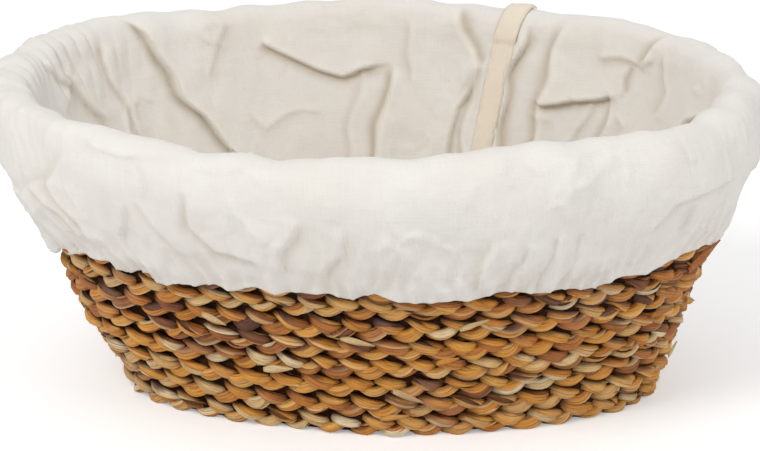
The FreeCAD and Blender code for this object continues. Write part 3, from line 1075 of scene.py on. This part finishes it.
def loose_tips():
    """Ends of leaves that stick out of the plait, one of them long, under the hem at the right."""
    local = np.random.default_rng(77)
    mesh = Mesh()
    tips = [LONG_TIP]
    for _ in range(SMALL_TIPS):
        place = local.uniform(0, 1), local.uniform(6, 60)
        size = local.uniform(7, 13), local.uniform(1.8, 3.2)
        look = local.uniform(0.1, 0.5), local.choice([0.35, 0.5, 0.6, 0.85])
        tips.append(place + size + look + (local.uniform(-0.45, 0.45),))
    for share, height, size, width, lift, tint, slope in tips:
        along = np.linspace(0, 1, 9)
        heights = height + slope * size * along
        half = plait_half(heights) + 0.2 + 1.9 * lift * along ** 1.5
        centre, outward = oval(share + size * along / round_length(76.0), half)
        centre[:, 2] = heights
        wide = width * (0.55 + 0.45 * np.sin(math.pi * along ** 0.8)) * (1 - along ** 3)
        up = np.array([0, 0, 1.0])
        points = np.stack([centre + up * (wide * k / 2)[:, None] - outward * (0.35 * abs(k))
                           for k in (-1, 0, 1)], axis=1)
        flat = np.stack(np.meshgrid(along * size, [0, 3, 6], indexing="ij"), axis=-1)
        colour = np.zeros(points.shape[:2] + (3,))
        colour[..., 0] = tint
        mesh.add(lean(points), flat, colour)
    piece = mesh.build("loose_leaf_tips", LEAF, "basket")
    thicken(piece, LEAF_THICKNESS)


liner_cloth()
bottom_cloth()
side_seam()
bottom_seam()
hem_elastic()
stitches()
loose_tips()


# The stage

WORLD_LIGHT = 0.62
FLOOR_REACH = 6.0
LAMP_TARGET = (0, 0, 0.06)


def stage_material():
    """A white floor that keeps the object's shadow."""
    n = Nodes("white_floor")
    seen = n.add("LightPath").outputs["Is Camera Ray"]
    n.set(Base_Color=(0.9, 0.9, 0.9, 1), Roughness=0.9, Specular_IOR_Level=0.1,
          Emission_Color=(1, 1, 1, 1), Emission_Strength=n.math("MULTIPLY", seen, 0.3))
    return n.material


def floor():
    mesh = bpy.data.meshes.new("floor")
    corners = [(x * FLOOR_REACH, y * FLOOR_REACH, 0) for x, y in ((-1, -1), (1, -1), (1, 1), (-1, 1))]
    mesh.from_pydata(corners, [], [(0, 1, 2, 3)])
    mesh.materials.append(stage_material())
    piece = bpy.data.objects.new("floor", mesh)
    bpy.context.scene.collection.objects.link(piece)


def world():
    """Even white light, with a whiter background for the camera and for reflections."""
    sky = bpy.data.worlds.new("studio")
    sky.use_nodes = True
    bpy.context.scene.world = sky
    tree = sky.node_tree
    background = tree.nodes["Background"]
    path = tree.nodes.new("ShaderNodeLightPath")
    seen = tree.nodes.new("ShaderNodeMath")
    seen.operation = "MAXIMUM"
    tree.links.new(path.outputs["Is Camera Ray"], seen.inputs[0])
    tree.links.new(path.outputs["Is Glossy Ray"], seen.inputs[1])
    strength = tree.nodes.new("ShaderNodeMapRange")
    tree.links.new(seen.outputs[0], strength.inputs["Value"])
    strength.inputs["To Min"].default_value = WORLD_LIGHT
    strength.inputs["To Max"].default_value = 1.0
    background.inputs["Color"].default_value = (1, 1, 1, 1)
    tree.links.new(strength.outputs["Result"], background.inputs["Strength"])


def lamp(name, place, size, power):
    light = bpy.data.lights.new(name, "AREA")
    light.size = size
    light.energy = power
    item = bpy.data.objects.new(name, light)
    item.location = place
    item.rotation_euler = (Vector(LAMP_TARGET) - Vector(place)).to_track_quat("-Z", "Y").to_euler()
    bpy.context.scene.collection.objects.link(item)


def camera():
    """A long lens, a little above the basket."""
    distance = 1.5
    raised = math.radians(20.4)
    turned = math.radians(2.865)
    look_height = 0.06
    pixels_per_metre = 2548
    right_shift = 12
    down_shift = 10.7
    data = bpy.data.cameras.new("camera")
    data.sensor_width = 36
    data.lens = pixels_per_metre * distance / IMAGE_WIDTH * data.sensor_width
    data.shift_x = -right_shift / IMAGE_WIDTH
    data.shift_y = down_shift / IMAGE_WIDTH
    data.clip_end = 30
    item = bpy.data.objects.new("camera", data)
    item.location = (distance * math.cos(raised) * math.sin(turned),
                     -distance * math.cos(raised) * math.cos(turned),
                     look_height + distance * math.sin(raised))
    item.rotation_euler = (math.pi / 2 - raised, 0, turned)
    bpy.context.scene.collection.objects.link(item)
    bpy.context.scene.camera = item


floor()
world()
lamp("key", (-0.8, -1.1, 1.5), 0.7, 14.5)
lamp("fill", (1.2, -0.7, 0.9), 1.0, 4)
camera()
bpy.context.scene.view_settings.view_transform = "Standard"
